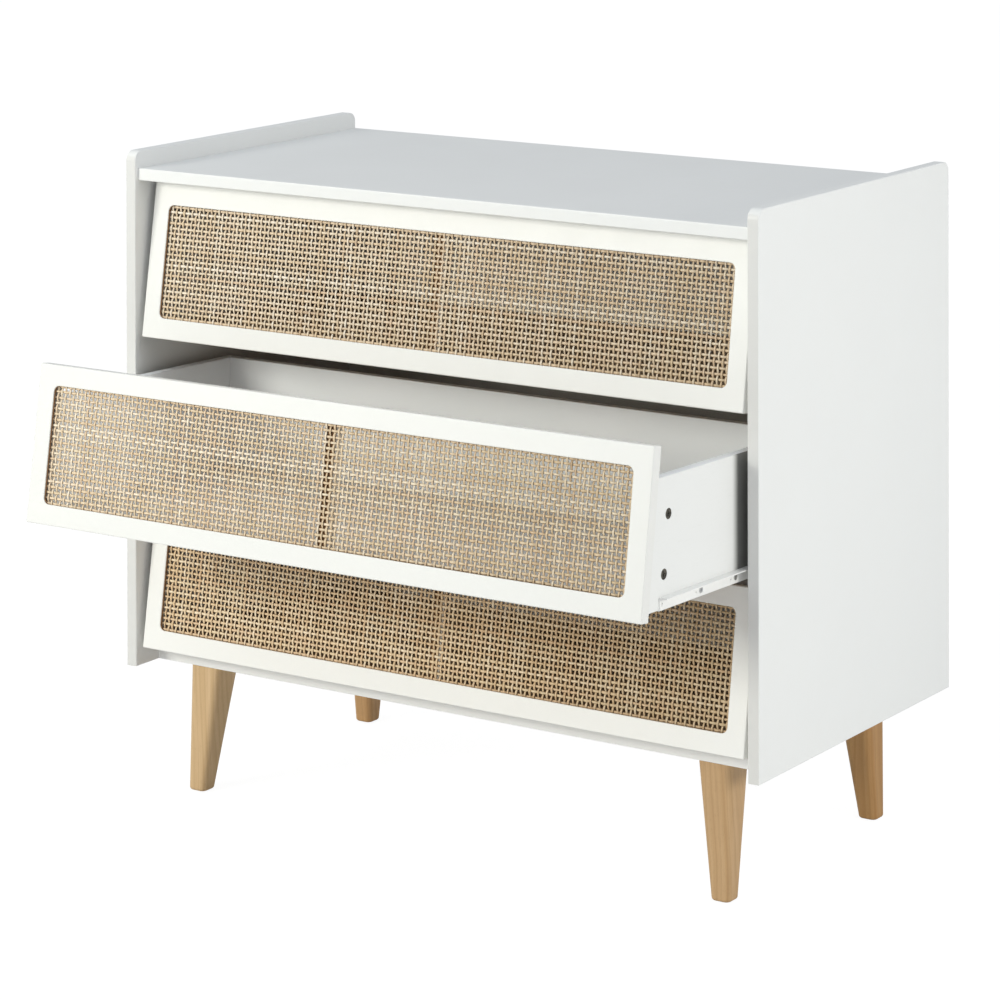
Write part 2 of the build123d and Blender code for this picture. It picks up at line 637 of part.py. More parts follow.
            # pin for the front roller, with its head
            with BuildSketch(profile_plane(sign * (INNER - METAL / 2), False)):
                with Locations(FRONT_ROLL):
                    Circle(PIN_R)
            extrude(amount=-sign * 9.1)
            with BuildSketch(profile_plane(sign * (INNER - 9.6), False)):
                with Locations(FRONT_ROLL):
                    Circle(3.2)
            extrude(amount=-sign * 0.5)
            # stop rib that the rear roller meets at full extension
            with BuildSketch(profile_plane(sign * (INNER - METAL), False)):
                with Locations((REAR_ROLL[0] - TRAVEL - 8.4, CAB_LOW + METAL + 1.6)):
                    Rectangle(5.0, 3.2)
            extrude(amount=-sign * 7.5)
        save(cabinet_runner, f"{level}_cabinet_runner_{name}")

    with BuildPart() as rear_rollers:
        for sign in (-1, 1):
            with BuildSketch(profile_plane(sign * (BOX_X + 1.8))):
                with Locations(REAR_ROLL):
                    Circle(REAR_ROLL_R)
                    Circle(PIN_BORE_R, mode=Mode.SUBTRACT)
            extrude(amount=sign * 7.0)
        rims = rear_rollers.edges().filter_by(GeomType.CIRCLE).filter_by(lambda e: e.radius > 5)
        fillet(rims, radius=0.6)
    save(rear_rollers, f"{level}_drawer_rear_rollers")

    with BuildPart() as front_rollers:
        for sign in (-1, 1):
            with BuildSketch(profile_plane(sign * (INNER - METAL - 1.0), False)):
                with Locations(FRONT_ROLL):
                    Circle(FRONT_ROLL_R)
                    Circle(PIN_BORE_R, mode=Mode.SUBTRACT)
            extrude(amount=-sign * 7.2)
        rims = front_rollers.edges().filter_by(GeomType.CIRCLE).filter_by(lambda e: e.radius > 5)
        fillet(rims, radius=0.6)
    save(front_rollers, f"{level}_cabinet_rollers")
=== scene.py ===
import math

import bpy
import numpy as np
from mathutils import Matrix, Vector


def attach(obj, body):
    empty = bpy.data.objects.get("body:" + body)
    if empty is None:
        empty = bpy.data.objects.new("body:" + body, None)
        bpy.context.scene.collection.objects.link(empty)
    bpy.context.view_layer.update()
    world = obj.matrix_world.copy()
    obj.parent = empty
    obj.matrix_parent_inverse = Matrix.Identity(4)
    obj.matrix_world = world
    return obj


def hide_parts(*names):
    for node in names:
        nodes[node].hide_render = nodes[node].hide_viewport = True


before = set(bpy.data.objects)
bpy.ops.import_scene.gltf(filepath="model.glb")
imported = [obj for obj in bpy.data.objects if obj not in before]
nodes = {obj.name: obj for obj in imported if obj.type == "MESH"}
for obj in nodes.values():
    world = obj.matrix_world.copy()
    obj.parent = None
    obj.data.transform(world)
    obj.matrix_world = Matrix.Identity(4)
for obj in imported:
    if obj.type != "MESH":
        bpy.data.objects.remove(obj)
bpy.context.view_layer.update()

# ------------------------------------------------------------------ dimensions
# the same numbers as the CAD source, in metres
TILT = math.radians(8.5)
SLOPE = math.radians(1.5)
FRONT = -0.1213362
FRONT_LIP = 0.0034
FRONT_H = 0.1851
OPEN_H = 0.1371
OPEN_W = 0.808
OPENED = {"lower": 0.0, "middle": 0.211, "upper": 0.0}
FRONT_Z = {"lower": 0.1770, "middle": 0.3681, "upper": 0.5592}
LEVELS = ("lower", "middle", "upper")


def face_frame(level):
    """Lower front edge of a drawer front, its up-slope and its outward directions."""
    d = OPENED[level]
    origin = np.array([0.0, FRONT + FRONT_LIP - d * math.cos(SLOPE), FRONT_Z[level] + d * math.sin(SLOPE)])
    up = np.array([0.0, math.sin(TILT), math.cos(TILT)])
    out = np.array([0.0, -math.cos(TILT), math.sin(TILT)])
    return origin, up, out


# ------------------------------------------------------------------ node helpers
class Mat:
    """A small wrapper that wires shader nodes."""

    def __init__(self, name):
        self.m = bpy.data.materials.new(name)
        self.m.use_nodes = True
        self.t = self.m.node_tree
        self.t.nodes.clear()
        self.out = self.t.nodes.new("ShaderNodeOutputMaterial")
        self.b = self.t.nodes.new("ShaderNodeBsdfPrincipled")
        self.t.links.new(self.b.outputs[0], self.out.inputs[0])

    def put(self, socket, value):
        if isinstance(value, bpy.types.NodeSocket):
            self.t.links.new(value, socket)
        elif value is not None:
            socket.default_value = value

    def coords(self, kind="Object"):
        n = self.t.nodes.new("ShaderNodeTexCoord")
        return n.outputs[kind]

    def attribute(self, name, output="Fac"):
        n = self.t.nodes.new("ShaderNodeAttribute")
        n.attribute_name = name
        return n.outputs[output]

    def scaled(self, vector, scale, offset=(0, 0, 0), rotation=(0, 0, 0)):
        n = self.t.nodes.new("ShaderNodeMapping")
        self.put(n.inputs["Vector"], vector)
        n.inputs["Scale"].default_value = scale
        n.inputs["Location"].default_value = offset
        n.inputs["Rotation"].default_value = rotation
        return n.outputs[0]

    def noise(self, vector, scale=1.0, detail=2.0, rough=0.5, distort=0.0):
        n = self.t.nodes.new("ShaderNodeTexNoise")
        self.put(n.inputs["Vector"], vector)
        n.inputs["Scale"].default_value = scale
        n.inputs["Detail"].default_value = detail
        n.inputs["Roughness"].default_value = rough
        n.inputs["Distortion"].default_value = distort
        return n.outputs[0]

    def voronoi(self, vector, scale=1.0, feature="F1", rand=1.0):
        n = self.t.nodes.new("ShaderNodeTexVoronoi")
        n.feature = feature
        self.put(n.inputs["Vector"], vector)
        n.inputs["Scale"].default_value = scale
        n.inputs["Randomness"].default_value = rand
        return n.outputs[0]

    def math(self, op, a, b=None, clamp=False):
        n = self.t.nodes.new("ShaderNodeMath")
        n.operation = op
        n.use_clamp = clamp
        self.put(n.inputs[0], a)
        self.put(n.inputs[1], b)
        return n.outputs[0]

    def split(self, vector):
        n = self.t.nodes.new("ShaderNodeSeparateXYZ")
        self.put(n.inputs[0], vector)
        return n.outputs

    def join(self, x, y, z):
        n = self.t.nodes.new("ShaderNodeCombineXYZ")
        self.put(n.inputs[0], x)
        self.put(n.inputs[1], y)
        self.put(n.inputs[2], z)
        return n.outputs[0]

    def ramp(self, fac, lo, hi, to_lo=0.0, to_hi=1.0, smooth=True):
        n = self.t.nodes.new("ShaderNodeMapRange")
        n.interpolation_type = "SMOOTHSTEP" if smooth else "LINEAR"
        self.put(n.inputs["Value"], fac)
        n.inputs["From Min"].default_value = lo
        n.inputs["From Max"].default_value = hi
        n.inputs["To Min"].default_value = to_lo
        n.inputs["To Max"].default_value = to_hi
        return n.outputs[0]

    def mix(self, fac, a, b, blend="MIX"):
        n = self.t.nodes.new("ShaderNodeMix")
        n.data_type = "RGBA"
        n.blend_type = blend
        n.clamp_result = False
        self.put(n.inputs[0], fac)
        for socket, value in ((n.inputs[6], a), (n.inputs[7], b)):
            if isinstance(value, tuple) and len(value) == 3:
                value = value + (1.0,)
            self.put(socket, value)
        return n.outputs[2]

    def bump(self, height, strength, distance, normal=None):
        n = self.t.nodes.new("ShaderNodeBump")
        n.inputs["Strength"].default_value = strength
        n.inputs["Distance"].default_value = distance
        self.put(n.inputs["Height"], height)
        self.put(n.inputs["Normal"], normal)
        return n.outputs[0]

    def edge(self, radius=0.0012):
        """1 on rounded or sharp edges, 0 on flat faces."""
        bevel = self.t.nodes.new("ShaderNodeBevel")
        bevel.samples = 4
        bevel.inputs["Radius"].default_value = radius
        geometry = self.t.nodes.new("ShaderNodeNewGeometry")
        n = self.t.nodes.new("ShaderNodeVectorMath")
        n.operation = "DOT_PRODUCT"
        self.put(n.inputs[0], bevel.outputs[0])
        self.put(n.inputs[1], geometry.outputs["True Normal"])
        return self.ramp(n.outputs["Value"], 0.995, 0.90, 0.0, 1.0)

    def finish(self, colour, rough, normal=None, **more):
        if isinstance(colour, tuple) and len(colour) == 3:
            colour = colour + (1.0,)
        self.put(self.b.inputs["Base Color"], colour)
        self.put(self.b.inputs["Roughness"], rough)
        self.put(self.b.inputs["Normal"], normal)
        for key, value in more.items():
            self.put(self.b.inputs[key], value)
        return self.m


def srgb(r, g, b):
    """Linear colour from 0-255 display values."""
    return tuple((c / 255 / 12.92) if c / 255 <= 0.04045 else ((c / 255 + 0.055) / 1.055) ** 2.4 for c in (r, g, b))


# ------------------------------------------------------------------ materials
def fibreboard_colour(k, p, low=srgb(128, 92, 62), high=srgb(172, 134, 96)):
    """Raw medium-density board: warm brown with fine matted fibres."""
    fine = k.noise(k.scaled(p, (900, 900, 900)), 1.0, 4.0, 0.7)
    fibres = k.noise(k.scaled(p, (160, 900, 1400), rotation=(0.2, 0.3, 0.1)), 1.0, 3.0, 0.6, 0.6)
    colour = k.mix(k.ramp(fine, 0.3, 0.7), low, high)
    return k.mix(k.ramp(fibres, 0.45, 0.72, 0.0, 0.45), colour, tuple(min(c * 1.35, 1.0) for c in high)), fine


def lacquer(name, tone, warm, level=None, front_edge_painted_shade=False):
    """White satin lacquer sprayed on fibreboard."""
    k = Mat(name)
    p = k.coords()
    cloud = k.noise(k.scaled(p, (3.2, 3.2, 3.2)), 1.0, 3.0, 0.55)
    mottle = k.noise(k.scaled(p, (55, 55, 55)), 1.0, 3.0, 0.6)
    base = k.mix(k.ramp(cloud, 0.3, 0.7), tuple(c * 0.985 for c in tone), tone)
    base = k.mix(k.ramp(mottle, 0.35, 0.75, 0.0, 0.30), base, tuple(c * w for c, w in zip(tone, warm)))
    # the coat is a little thinner on the rounded edges
    worn = k.math("MULTIPLY", k.edge(), k.ramp(k.noise(k.scaled(p, (70, 70, 70)), 1.0, 4.0, 0.65), 0.35, 0.75))
    base = k.mix(k.math("MULTIPLY", worn, 0.16), base, srgb(214, 206, 192))
    if front_edge_painted_shade:
        # painted shade: the narrow front edge of a side panel is painted greyer
        facing = k.t.nodes.new("ShaderNodeNewGeometry")
        y = k.split(facing.outputs["Normal"])[1]
        base = k.mix(k.ramp(y, -0.80, -0.97, 0.0, 1.0), base, k.mix(1.0, base, (0.86, 0.85, 0.84), "MULTIPLY"))
    peel = k.noise(k.scaled(p, (420, 420, 420)), 1.0, 2.0, 0.5)
    dust = k.noise(k.scaled(p, (1600, 1600, 1600)), 1.0, 2.0, 0.5)
    height = k.math("ADD", k.math("MULTIPLY", peel, 0.8), k.math("MULTIPLY", dust, 0.2))
    rough = k.ramp(k.noise(k.scaled(p, (12, 12, 12)), 1.0, 4.0, 0.6), 0.25, 0.75, 0.36, 0.46)
    if level is not None:
        # the cut edge of the cane opening and the rebate behind it are bare board
        origin, up, out = face_frame(level)
        x, y, z = k.split(p)[:3]
        dy = k.math("SUBTRACT", y, float(origin[1]))
        dz = k.math("SUBTRACT", z, float(origin[2]))
        s = k.math("ADD", k.math("MULTIPLY", dy, float(up[1])), k.math("MULTIPLY", dz, float(up[2])))
        depth = k.math("MULTIPLY", k.math("ADD", k.math("MULTIPLY", dy, float(out[1])), k.math("MULTIPLY", dz, float(out[2]))), -1.0)
        inside = k.math("LESS_THAN", k.math("ABSOLUTE", x), OPEN_W / 2 + 0.0065)
        low = k.math("GREATER_THAN", s, (FRONT_H - OPEN_H) / 2 - 0.0065)
        high = k.math("LESS_THAN", s, (FRONT_H + OPEN_H) / 2 + 0.0065)
        deep = k.ramp(depth, 0.0009, 0.0013)
        mask = k.math("MULTIPLY", k.math("MULTIPLY", inside, low), k.math("MULTIPLY", high, deep))
        raw, fine = fibreboard_colour(k, p)
        base = k.mix(mask, base, raw)
        rough = k.math("ADD", rough, k.math("MULTIPLY", mask, 0.4))
    return k.finish(base, rough, k.bump(height, 0.10, 0.00012), **{"Specular IOR Level": 0.42, "Coat Weight": 0.10, "Coat Roughness": 0.30})


def foil():
    """White foil on the drawer box boards: a faint wood pore print along the board."""
    k = Mat("drawer_foil")
    p = k.coords()
    pores = k.noise(k.scaled(p, (60, 60, 700)), 1.0, 4.0, 0.65, 0.3)
    cloud = k.noise(k.scaled(p, (4, 4, 4)), 1.0, 2.0, 0.5)
    base = k.mix(k.ramp(cloud, 0.3, 0.7), srgb(238, 239, 239), srgb(242, 242, 242))
    base = k.mix(k.ramp(pores, 0.55, 0.8, 0.0, 0.18), base, srgb(214, 214, 208))
    worn = k.math("MULTIPLY", k.edge(0.001), k.ramp(k.noise(k.scaled(p, (90, 90, 90)), 1.0, 3.0, 0.6), 0.45, 0.75))
    base = k.mix(k.math("MULTIPLY", worn, 0.25), base, srgb(196, 188, 176))
    # painted light and shade: the inner faces are painted brighter and cooler, the outer faces a little greyer, and
    # the outer faces are painted dark where they run in the narrow gap of the case
    place = k.t.nodes.new("ShaderNodeNewGeometry")
    x, y, z = k.split(place.outputs["Position"])[:3]
    outer = k.math("GREATER_THAN", k.math("MULTIPLY", k.split(place.outputs["Normal"])[0], k.math("SIGN", x)), 0.5)
    deep = k.math("MULTIPLY", outer, k.ramp(y, -0.134, -0.119))
    base = k.mix(outer, k.mix(1.0, base, (1.08, 1.10, 1.12), "MULTIPLY"), k.mix(1.0, base, (0.955, 0.96, 0.945), "MULTIPLY"))
    # painted shade in the gap between the drawer side and the case
    base = k.mix(deep, base, k.mix(1.0, base, (0.30, 0.30, 0.29), "MULTIPLY"))
    rough = k.ramp(pores, 0.3, 0.8, 0.42, 0.55)
    return k.finish(base, rough, k.bump(pores, 0.16, 0.0001), **{"Specular IOR Level": 0.4})


def raw_board():
    """Cane retainer: a pale ring, painted light, with a bare fibreboard bar in the middle, painted darker as painted
    shade.
    """
    k = Mat("raw_fibreboard")
    p = k.coords()
    bar_painted_shade, fine = fibreboard_colour(k, p, srgb(92, 66, 44), srgb(128, 96, 66))
    x = k.split(p)[0]
    # painted light: the ring is given a pale colour
    ring = k.mix(k.ramp(fine, 0.3, 0.7), srgb(196, 190, 180), srgb(212, 207, 198))
    centre = k.math("MULTIPLY", k.math("GREATER_THAN", x, -0.0095), k.math("LESS_THAN", x, 0.0050))
    colour = k.mix(centre, ring, bar_painted_shade)
    return k.finish(colour, 0.85, k.bump(fine, 0.35, 0.0002), **{"Specular IOR Level": 0.2})


def bottom_board(printed):
    """Thin drawer bottoms: a plain brown sheet, partly painted shade for the shut drawers, or the same sheet with a
    pale print on its upper face.
    """
    k = Mat("drawer_bottom_printed" if printed else "drawer_bottom_plain")
    p = k.coords()
    brown, fine = fibreboard_colour(k, p, srgb(150, 124, 96), srgb(174, 147, 116))
    cloud = k.noise(k.scaled(p, (6, 6, 6)), 1.0, 3.0, 0.6)
    pale = k.mix(k.ramp(cloud, 0.35, 0.7), srgb(222, 221, 217), srgb(232, 231, 228))
    pale = k.mix(k.ramp(fine, 0.55, 0.8, 0.0, 0.2), pale, srgb(206, 203, 196))
    place = k.t.nodes.new("ShaderNodeNewGeometry")
    under = k.ramp(k.split(place.outputs["Normal"])[2], 0.0, -0.5)
    colour = k.mix(under, pale, brown) if printed else brown
    return k.finish(colour, k.ramp(cloud, 0.3, 0.7, 0.52, 0.66), k.bump(fine, 0.20, 0.0002), **{"Specular IOR Level": 0.3})


def hardboard():
    """Thin brown hardboard with felted fibres and specks; its inside face has a pale print."""
    k = Mat("brown_hardboard")
    p = k.coords()
    fibres = k.noise(k.scaled(p, (500, 500, 900), rotation=(0.0, 0.4, 0.0)), 1.0, 5.0, 0.7, 1.2)
    cloud = k.noise(k.scaled(p, (7, 7, 7)), 1.0, 4.0, 0.6)
    colour = k.mix(k.ramp(fibres, 0.3, 0.72), srgb(92, 64, 42), srgb(142, 104, 72))
    colour = k.mix(k.ramp(cloud, 0.35, 0.7, 0.0, 0.45), colour, srgb(112, 80, 54))
    specks = k.voronoi(k.scaled(p, (260, 260, 260)), 1.0)
    colour = k.mix(k.ramp(specks, 0.10, 0.04, 0.0, 0.5), colour, srgb(64, 43, 28))
    facing = k.t.nodes.new("ShaderNodeNewGeometry")
    inner = k.ramp(k.split(facing.outputs["Normal"])[1], -0.4, -0.7)
    print_coat = k.mix(k.ramp(fibres, 0.3, 0.72), srgb(196, 193, 186), srgb(208, 206, 199))
    colour = k.mix(inner, colour, print_coat)
    return k.finish(colour, k.ramp(cloud, 0.3, 0.7, 0.52, 0.66), k.bump(fibres, 0.22, 0.0002), **{"Specular IOR Level": 0.35})


def leg_wood(name, dark, mid, light, gloss, seed):
    """Straight-grained light hardwood: growth rings running up the leg, fibres, pores and flecks."""
    k = Mat(name)
    p = k.coords()
    x, y, z = k.split(p)[:3]
    wander = k.noise(k.scaled(p, (9, 9, 3.0), (seed, 0, 0)), 1.0, 2.0, 0.5)
    shift = k.math("MULTIPLY", k.math("SUBTRACT", wander, 0.5), 0.030)
    across = k.math("ADD", k.math("ADD", k.math("MULTIPLY", x, 0.83), k.math("MULTIPLY", y, 0.56)), shift)
    across = k.math("ADD", across, k.math("MULTIPLY", z, 0.035))
    rings = k.noise(k.join(k.math("MULTIPLY", across, 210.0), k.math("MULTIPLY", z, 2.2), seed), 1.0, 3.0, 0.55)
    bands = k.math("MULTIPLY", k.math("ADD", k.math("SINE", k.math("ADD", k.math("MULTIPLY", across, 1150.0), k.math("MULTIPLY", rings, 9.0))), 1.0), 0.5)
    fibre = k.noise(k.scaled(p, (950, 950, 26), (0, seed, 0)), 1.0, 3.0, 0.6)
    colour = k.mix(k.ramp(rings, 0.28, 0.72), mid, light)
    colour = k.mix(k.ramp(bands, 0.55, 1.0, 0.0, 0.20), colour, dark)
    colour = k.mix(k.ramp(fibre, 0.50, 0.80, 0.0, 0.32), colour, dark)
    pores = k.voronoi(k.scaled(p, (1500, 1500, 95), (0, 0, seed)), 1.0)
    colour = k.mix(k.ramp(pores, 0.20, 0.08, 0.0, 0.35), colour, tuple(c * 0.45 for c in dark))
    cloud = k.noise(k.scaled(p, (16, 16, 7), (seed, seed, 0)), 1.0, 3.0, 0.5)
    colour = k.mix(k.ramp(cloud, 0.3, 0.75, 0.0, 0.30), colour, tuple(c * 0.80 for c in mid))
    worn = k.edge(0.0016)
    colour = k.mix(k.math("MULTIPLY", worn, 0.10), colour, light)
    height = k.math("ADD", k.math("MULTIPLY", fibre, 0.6), k.math("MULTIPLY", pores, 0.4))
    rough = k.ramp(fibre, 0.3, 0.8, gloss, gloss + 0.14)
    return k.finish(colour, rough, k.bump(height, 0.18, 0.00012), **{"Specular IOR Level": 0.45})


def powder_coat():
    k = Mat("runner_powder_coat")
    p = k.coords()
    grains = k.noise(k.scaled(p, (1400, 1400, 1400)), 1.0, 3.0, 0.6)
    cloud = k.noise(k.scaled(p, (30, 30, 30)), 1.0, 2.0, 0.5)
    base = k.mix(k.ramp(cloud, 0.3, 0.7), srgb(238, 238, 236), srgb(245, 245, 243))
    worn = k.math("MULTIPLY", k.edge(0.0006), k.ramp(k.noise(k.scaled(p, (300, 300, 300)), 1.0, 3.0, 0.6), 0.5, 0.7))
    base = k.mix(k.math("MULTIPLY", worn, 0.5), base, srgb(150, 150, 152))
    return k.finish(base, k.ramp(grains, 0.3, 0.7, 0.28, 0.42), k.bump(grains, 0.20, 0.0001), **{"Specular IOR Level": 0.5})


def nylon():
    k = Mat("natural_nylon")
    p = k.coords()
    cloud = k.noise(k.scaled(p, (220, 220, 220)), 1.0, 3.0, 0.55)
    base = k.mix(k.ramp(cloud, 0.3, 0.7), srgb(214, 212, 200), srgb(230, 229, 220))
    scuff = k.noise(k.scaled(p, (40, 2400, 2400)), 1.0, 3.0, 0.7)
    base = k.mix(k.ramp(scuff, 0.6, 0.8, 0.0, 0.35), base, srgb(176, 172, 160))
    return k.finish(base, k.ramp(scuff, 0.3, 0.8, 0.35, 0.6), k.bump(scuff, 0.15, 0.00008), **{"Subsurface Weight": 0.08, "Subsurface Scale": 0.002})


def zinc():
    """Bright zinc plating: cool grey, with a faint passivation tint and tool marks."""
    k = Mat("zinc_plate")
    p = k.coords()
    spangle = k.voronoi(k.scaled(p, (900, 900, 900)), 1.0)
    tint = k.noise(k.scaled(p, (240, 240, 240)), 1.0, 3.0, 0.6)
    base = k.mix(k.ramp(tint, 0.35, 0.7), srgb(206, 208, 212), srgb(226, 224, 214))
    base = k.mix(k.ramp(spangle, 0.0, 0.8, 0.0, 0.30), base, srgb(168, 172, 178))
    return k.finish(base, k.ramp(tint, 0.3, 0.7, 0.26, 0.44), k.bump(spangle, 0.12, 0.0001), Metallic=1.0)


def cam_metal():
    """Dull zinc die-cast cam discs."""
    k = Mat("die_cast_cam")
    p = k.coords()
    grain = k.noise(k.scaled(p, (1300, 1300, 1300)), 1.0, 4.0, 0.7)
    cloud = k.noise(k.scaled(p, (260, 260, 260)), 1.0, 3.0, 0.5)
    base = k.mix(k.ramp(cloud, 0.35, 0.7), srgb(74, 70, 62), srgb(122, 116, 104))
    # painted highlight: the rims of the discs are painted lighter
    worn = k.edge(0.0005)
    base = k.mix(k.math("MULTIPLY", worn, 0.6), base, srgb(196, 192, 184))
    return k.finish(base, k.ramp(grain, 0.3, 0.7, 0.34, 0.52), k.bump(grain, 0.35, 0.00012), Metallic=0.85)


CANE_LIGHT = srgb(252, 245, 230)
CANE_MID = srgb(243, 230, 206)
CANE_TAN = srgb(226, 204, 171)
CANE_DARK = srgb(156, 120, 78)
CANE_FLANK_SHADE = srgb(118, 84, 48)


def cane(level, sheet_tint_and_shade, right_end_shade, flank_shade):
    """Split cane strands: each has its own tone, with lengthwise fibres, nodes and a slight polish."""
    k = Mat("woven_cane_" + level)
    own = k.attribute("strand_tone")
    tint = k.attribute("strand_tint")
    place = k.attribute("strand_place", "Vector")
    along_slow = k.noise(k.scaled(place, (28, 0.0, 1.0)), 1.0, 2.0, 0.5)
    streak = k.noise(k.scaled(place, (110, 5.5, 1.0)), 1.0, 3.0, 0.65)
    fine = k.noise(k.scaled(place, (420, 15.0, 1.0)), 1.0, 2.0, 0.6)
    tone = k.math("ADD", k.math("MULTIPLY", own, 0.46), k.math("ADD", k.math("MULTIPLY", along_slow, 0.45), 0.09))
    colour = k.mix(k.ramp(tone, 0.22, 0.78), CANE_TAN, CANE_MID)
    colour = k.mix(k.ramp(tone, 0.60, 0.95), colour, CANE_LIGHT)
    colour = k.mix(k.math("MULTIPLY", k.ramp(tint, 0.75, 1.0), 0.22), colour, srgb(214, 202, 164))
    colour = k.mix(k.math("MULTIPLY", k.ramp(tint, 0.30, 0.0), 0.35), colour, srgb(224, 192, 162))
    colour = k.mix(k.ramp(streak, 0.48, 0.80, 0.0, 0.55), colour, CANE_DARK)
    colour = k.mix(k.ramp(fine, 0.52, 0.80, 0.0, 0.28), colour, CANE_DARK)
    node = k.noise(k.scaled(place, (9, 0.0, 1.0), (3.1, 0, 0)), 1.0, 1.0, 0.5)
    colour = k.mix(k.ramp(node, 0.70, 0.78, 0.0, 0.45), colour, CANE_DARK)
    # painted shade: the flanks of each strand are darkened towards brown
    flank = k.math("ABSOLUTE", k.math("SUBTRACT", k.split(place)[1], 0.5))
    colour = k.mix(k.ramp(flank, 0.22, 0.50, 0.0, flank_shade), colour, CANE_DARK if flank_shade < 0.8 else CANE_FLANK_SHADE)
    # painted shade: the sheet is painted browner and darker towards its right-hand end
    x, y, z = k.split(k.coords())[:3]
    colour = k.mix(k.ramp(x, -0.30, 0.58, 0.0, 0.72), colour, k.mix(1.0, colour, (0.72, 0.67, 0.58), "MULTIPLY"))
    # each sheet has its own tint, partly its own tone and partly painted shade
    colour = k.mix(1.0, colour, sheet_tint_and_shade, "MULTIPLY")
    # more painted shade at the right-hand end, strongest on the lower sheet
    colour = k.mix(k.ramp(x, 0.04, 0.36), colour, k.mix(1.0, colour, (right_end_shade,) * 3, "MULTIPLY"))
    height = k.math("ADD", k.math("MULTIPLY", streak, 0.65), k.math("MULTIPLY", fine, 0.35))
    return k.finish(
        colour,
        k.ramp(streak, 0.3, 0.8, 0.38, 0.60),
        k.bump(height, 0.45, 0.00022),
        **{"Specular IOR Level": 0.42, "Sheen Weight": 0.08, "Sheen Roughness": 0.5},
    )


MATS = {
    "foil": foil(),
    "raw": raw_board(),
    "hardboard": hardboard(),
    "bottom_printed": bottom_board(True),
    "bottom_brown_painted_shade": bottom_board(False),
    "runner": powder_coat(),
    "nylon": nylon(),
    "zinc": zinc(),
    "cam": cam_metal(),
    "case": lacquer("case_lacquer", srgb(238, 239, 238), (0.985, 0.98, 0.97)),
    # painted light: the bottom panel gets a brighter white than the rest of the case
    "bottom_panel": lacquer("bottom_panel_lacquer_painted_light", srgb(250, 250, 248), (0.985, 0.98, 0.97)),
    "side": lacquer("side_lacquer", srgb(238, 239, 238), (0.985, 0.98, 0.97), front_edge_painted_shade=True),
    "dowel": leg_wood("dowel_beech", srgb(176, 138, 96), srgb(206, 172, 128), srgb(220, 190, 148), 0.62, 9.0),
}
# per sheet: tint, right-end darkening and flank darkening, partly painted shade
CANE_SHEETS = {
    "lower": ((1.045, 0.97, 0.86), 0.87, 0.62),
    "middle": ((1.015, 0.985, 0.945), 0.97, 0.92),
    "upper": ((1.025, 1.01, 1.01), 0.99, 0.62),
}
# painted light and shade: each drawer front gets its own white, the lower one lightest and the middle one darkest
FRONT_WHITES_PAINTED_LIGHT = {"lower": srgb(246, 246, 243), "middle": srgb(235, 235, 232), "upper": srgb(240, 240, 237)}
for level in LEVELS:
    MATS["cane_" + level] = cane(level, *CANE_SHEETS[level])
    MATS["front_" + level] = lacquer("front_lacquer_" + level, FRONT_WHITES_PAINTED_LIGHT[level], (0.99, 0.985, 0.97), level)
# the legs darken from front left to back right: partly the wood's own tone, partly painted shade
LEG_TONES_AND_SHADE = (
    (srgb(172, 133, 86), srgb(207, 174, 129), srgb(219, 188, 146)),
    (srgb(156, 114, 70), srgb(192, 156, 112), srgb(204, 170, 128)),
    (srgb(160, 114, 68), srgb(193, 149, 100), srgb(205, 163, 114)),
    (srgb(148, 102, 57), srgb(177, 133, 82), srgb(189, 147, 95)),
)
LEG_NAMES = ("leg_front_left", "leg_front_right", "leg_back_left", "leg_back_right")
for i, leg in enumerate(LEG_NAMES):
    dark, mid, light = LEG_TONES_AND_SHADE[i]
    MATS[leg] = leg_wood("wood_" + leg, dark, mid, light, 0.38, 3.0 + 5.3 * i)


def material_for(node):
    if node in MATS:
        return MATS[node]
    if node.endswith("_drawer_front"):
        return MATS["front_" + node.split("_")[0]]
    for ending, key in (
        ("_cane_retainer", "raw"),
        ("_drawer_side_left", "foil"),
        ("_drawer_side_right", "foil"),
        ("_drawer_back", "foil"),
        # partly real board, partly painted shade: the middle bottom has the pale print, the upper and lower bottoms
        # stay plain brown so the shut drawers look dark inside
        ("middle_drawer_bottom", "bottom_printed"),
        ("_drawer_bottom", "bottom_brown_painted_shade"),
        ("_cam_fittings", "cam"),
        ("_screws", "zinc"),
        ("_runner_left", "runner"),
        ("_runner_right", "runner"),
        ("_rollers", "nylon"),
        ("_bolts", "zinc"),
        ("_nuts", "zinc"),
        ("_housings", "cam"),
        ("_dowels", "dowel"),
        ("lower_drawer_cane_panel", "cane_lower"),
        ("middle_drawer_cane_panel", "cane_middle"),
        ("upper_drawer_cane_panel", "cane_upper"),
    ):
        if node.endswith(ending):
            return MATS[key]
    if node in ("side_panel_left", "side_panel_right"):
        return MATS["side"]
    if node == "back_panel":
        return MATS["hardboard"]
    return MATS["case"]


for name, o in nodes.items():
    o.data.materials.clear()
    o.data.materials.append(material_for(name))


# ------------------------------------------------------------------ woven cane
PITCH_X, PITCH_U = 0.00598, 0.00640
CANE_DEPTH = 0.0035 + 0.0015     # middle of the woven sheet behind the front's face
WAVE = 0.00072                   # how far a strand rises and dips
RING = 8
STEPS = 5                        # points of a strand between two crossings


def smooth_steps(rng, count, amount):
    """Random offsets, one for each strand."""
    return rng.uniform(-1, 1, count) * amount


def low_wave(rng, a, b, amount):
    """A slow, smooth drift over the sheet, as woven goods show when they are stretched in."""
    total = np.zeros(np.broadcast(a, b).shape)
    for _ in range(5):
        ka, kb = rng.uniform(-26, 26), rng.uniform(-60, 60)
        total = total + np.sin(a * ka + b * kb + rng.uniform(0, 6.28)) * amount / 5
    return total


